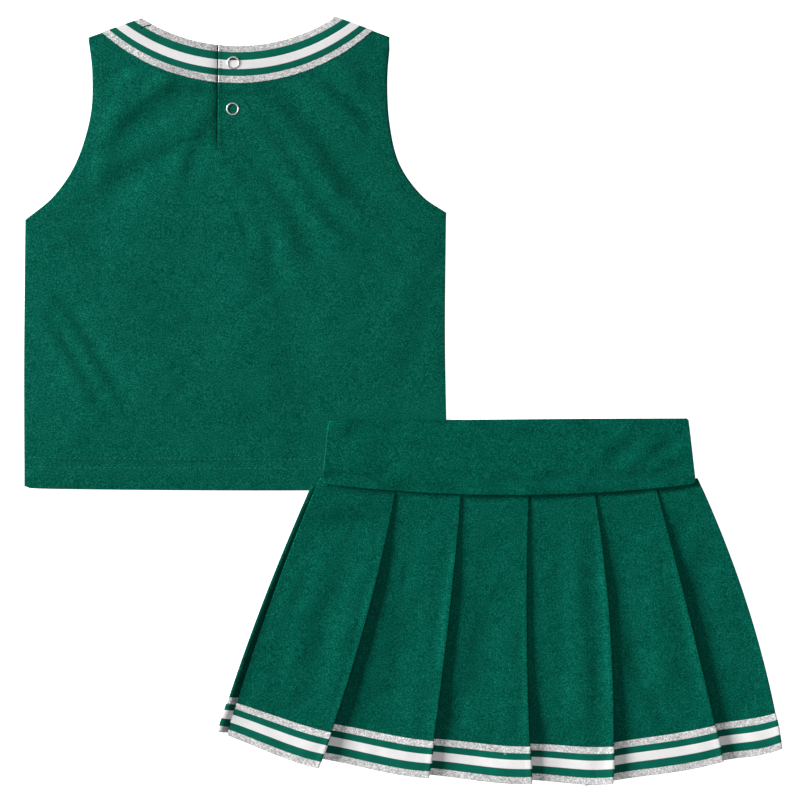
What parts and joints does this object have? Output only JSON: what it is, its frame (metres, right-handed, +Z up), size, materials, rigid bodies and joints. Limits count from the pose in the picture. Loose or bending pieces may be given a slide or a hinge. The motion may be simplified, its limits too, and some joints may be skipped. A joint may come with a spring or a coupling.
{
  "type": "cheer uniform",
  "caption": "Child's cheer uniform laid flat: green sleeveless shell top with a snapped back opening and a knife-pleated skirt, striped braid on collar and hem",
  "frame": {"origin": "centre of the laid-out pair's footprint, on the surface it lies on", "axes": "+Z up from the surface, +Y towards the top's collar, +X towards the skirt's side"},
  "size_m": [0.5488, 0.5552, 0.01],
  "materials": {
    "top_knit": "green brushed stretch tricot with a slight sheen",
    "skirt_satin": "green stretch tricot with a satin sheen",
    "green_braid": "green woven braid",
    "white_braid": "white woven braid",
    "silver_braid": "silver glitter braid of metallic thread",
    "snap_metal": "nickel-plated snap parts",
    "elastic": "woven elastic"
  },
  "bodies": {
    "shell_top": {"top_front_panel": "top_knit", "top_back_panel": "top_knit", "top_side_seams": "top_knit", "top_shoulder_seams": "top_knit", "collar_silver_braid": "silver_braid", "collar_green_braid": "green_braid", "collar_white_braid": "white_braid", "placket_underlap": "top_knit", "snap_stud_upper": "snap_metal", "snap_stud_lower": "snap_metal", "snap_back_ring_upper": "snap_metal", "snap_back_ring_lower": "snap_metal"},
    "back_flap": {"placket_flap": "top_knit", "flap_silver_braid": "silver_braid", "flap_green_braid": "green_braid", "flap_white_braid": "white_braid", "snap_socket_upper": "snap_metal", "snap_socket_lower": "snap_metal", "snap_ring_upper": "snap_metal", "snap_ring_lower": "snap_metal"},
    "pleated_skirt": {"waistband_front": "skirt_satin", "waistband_back": "skirt_satin", "waistband_elastic": "elastic", "waistband_side_seams": "skirt_satin", "skirt_underfolds": "skirt_satin", "skirt_back_panel": "skirt_satin", "skirt_side_seams": "skirt_satin", "skirt_back_silver_braid": "silver_braid", "skirt_back_green_braid": "green_braid", "skirt_back_white_braid": "white_braid", "side_pleat": "skirt_satin", "side_pleat_silver_braid": "silver_braid", "side_pleat_green_braid": "green_braid", "side_pleat_white_braid": "white_braid"},
    "front_pleat_1": {"pleat_1": "skirt_satin", "pleat_1_silver_braid": "silver_braid", "pleat_1_green_braid": "green_braid", "pleat_1_white_braid": "white_braid"},
    "front_pleat_2": {"pleat_2": "skirt_satin", "pleat_2_silver_braid": "silver_braid", "pleat_2_green_braid": "green_braid", "pleat_2_white_braid": "white_braid"},
    "front_pleat_3": {"pleat_3": "skirt_satin", "pleat_3_silver_braid": "silver_braid", "pleat_3_green_braid": "green_braid", "pleat_3_white_braid": "white_braid"},
    "front_pleat_4": {"pleat_4": "skirt_satin", "pleat_4_silver_braid": "silver_braid", "pleat_4_green_braid": "green_braid", "pleat_4_white_braid": "white_braid"},
    "front_pleat_5": {"pleat_5": "skirt_satin", "pleat_5_silver_braid": "silver_braid", "pleat_5_green_braid": "green_braid", "pleat_5_white_braid": "white_braid"},
    "front_pleat_6": {"pleat_6": "skirt_satin", "pleat_6_silver_braid": "silver_braid", "pleat_6_green_braid": "green_braid", "pleat_6_white_braid": "white_braid"}
  },
  "joints": [
    {"name": "placket_opening", "type": "hinge", "parent": "shell_top", "child": "back_flap", "pos_m": [-0.1338, 0.1809, 0.0069], "axis": [0.5878, 0.809, 0], "range_deg": [0, 120]},
    {"name": "skirt_lift", "type": "slide", "parent": "shell_top", "child": "pleated_skirt", "axis": [0, 0, 1], "range_m": [0, 0.12]},
    {"name": "pleat_1_swing", "type": "hinge", "parent": "pleated_skirt", "child": "front_pleat_1", "pos_m": [-0.0615, -0.06053, 0.01], "axis": [-0.3362, -0.9418, 0], "range_deg": [0, 30]},
    {"name": "pleat_2_swing", "type": "hinge", "parent": "pleated_skirt", "child": "front_pleat_2", "pos_m": [-0.0049, -0.06621, 0.01], "axis": [-0.2692, -0.9631, 0], "range_deg": [0, 30]},
    {"name": "pleat_3_swing", "type": "hinge", "parent": "pleated_skirt", "child": "front_pleat_3", "pos_m": [0.0425, -0.06873, 0.01], "axis": [-0.115, -0.9934, 0], "range_deg": [0, 30]},
    {"name": "pleat_4_swing", "type": "hinge", "parent": "pleated_skirt", "child": "front_pleat_4", "pos_m": [0.0915, -0.06922, 0.01], "axis": [0.0091, -1, 0], "range_deg": [0, 30]},
    {"name": "pleat_5_swing", "type": "hinge", "parent": "pleated_skirt", "child": "front_pleat_5", "pos_m": [0.1393, -0.06761, 0.01], "axis": [0.0604, -0.9982, 0], "range_deg": [0, 30]},
    {"name": "pleat_6_swing", "type": "hinge", "parent": "pleated_skirt", "child": "front_pleat_6", "pos_m": [0.1837, -0.06427, 0.01], "axis": [0.2366, -0.9716, 0], "range_deg": [0, 30]}
  ]
}
